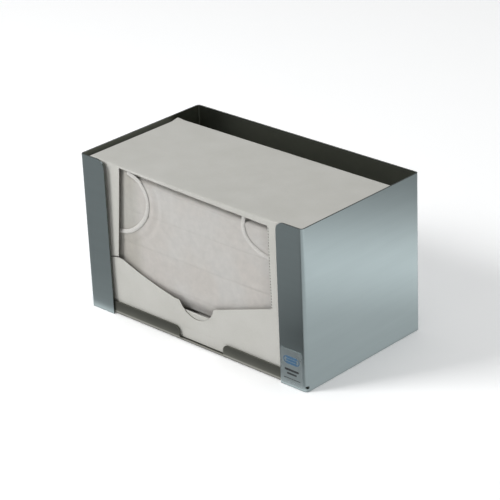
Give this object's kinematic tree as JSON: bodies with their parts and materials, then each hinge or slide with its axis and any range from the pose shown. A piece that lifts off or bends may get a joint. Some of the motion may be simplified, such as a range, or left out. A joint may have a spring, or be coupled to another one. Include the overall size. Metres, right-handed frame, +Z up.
{
  "type": "disposable face mask dispenser",
  "caption": "Open-topped box dispenser folded from stainless sheet, with side lips and a finger cut-out, holding a torn-open carton of pleated masks.",
  "frame": {"origin": "middle of the underside, on the surface that the dispenser stands on", "axes": "+X to the right seen from the front, -Y out of the front, +Z up"},
  "size_m": [0.193, 0.1101, 0.11],
  "materials": {
    "steel_brushed": "fine satin grain outside",
    "steel_mill": "cold rolled mill finish",
    "label_film": "clear film with a plain printed mark",
    "carton_board": "uncoated grey-white board",
    "mask_outer": "thermal bonded nonwoven",
    "mask_filter": "melt-blown filter web",
    "mask_inner": "soft nonwoven",
    "nose_wire": "plastic-covered wire",
    "ear_elastic": "knitted elastic"
  },
  "bodies": {
    "housing": {"housing_wrap": "steel_brushed", "floor_tray": "steel_mill", "label_film": "label_film"},
    "carton": {"carton_sleeve": "carton_board", "carton_inner_lip": "carton_board", "left_closure_flap": "carton_board", "right_closure_flap": "carton_board", "left_front_dust_flap": "carton_board", "left_rear_dust_flap": "carton_board", "right_front_dust_flap": "carton_board", "right_rear_dust_flap": "carton_board", "mask_02": "mask_outer", "mask_03": "mask_outer", "mask_04": "mask_outer", "mask_05": "mask_outer", "mask_06": "mask_outer", "mask_07": "mask_outer", "mask_08": "mask_outer", "mask_09": "mask_outer", "mask_10": "mask_outer", "mask_11": "mask_outer", "mask_12": "mask_outer", "mask_13": "mask_outer", "mask_14": "mask_outer", "mask_15": "mask_outer", "mask_16": "mask_outer", "mask_17": "mask_outer", "mask_18": "mask_outer", "mask_19": "mask_outer", "mask_20": "mask_outer", "mask_21": "mask_outer", "mask_22": "mask_outer", "mask_23": "mask_outer", "mask_24": "mask_outer", "mask_25": "mask_outer", "mask_26": "mask_outer", "mask_27": "mask_outer", "mask_28": "mask_outer", "mask_29": "mask_outer", "mask_30": "mask_outer", "mask_31": "mask_outer", "mask_32": "mask_outer", "mask_33": "mask_outer", "mask_34": "mask_outer", "mask_35": "mask_outer", "mask_36": "mask_outer", "mask_37": "mask_outer", "mask_38": "mask_outer", "mask_39": "mask_outer", "mask_40": "mask_outer"},
    "front_mask": {"front_mask_outer_web": "mask_outer", "front_mask_filter_web": "mask_filter", "front_mask_inner_web": "mask_inner", "front_mask_nose_wire": "nose_wire", "front_mask_left_loop": "ear_elastic", "front_mask_right_loop": "ear_elastic"}
  },
  "joints": [
    {"name": "carton_lift", "type": "slide", "parent": "housing", "child": "carton", "axis": [0, 0, 1], "range_m": [0, 0.115]},
    {"name": "mask_pull", "type": "slide", "parent": "carton", "child": "front_mask", "axis": [0, -1, 0], "range_m": [0, 0.11], "deforming": ["front_mask_outer_web", "front_mask_filter_web", "front_mask_inner_web", "front_mask_nose_wire", "front_mask_left_loop", "front_mask_right_loop"]}
  ]
}
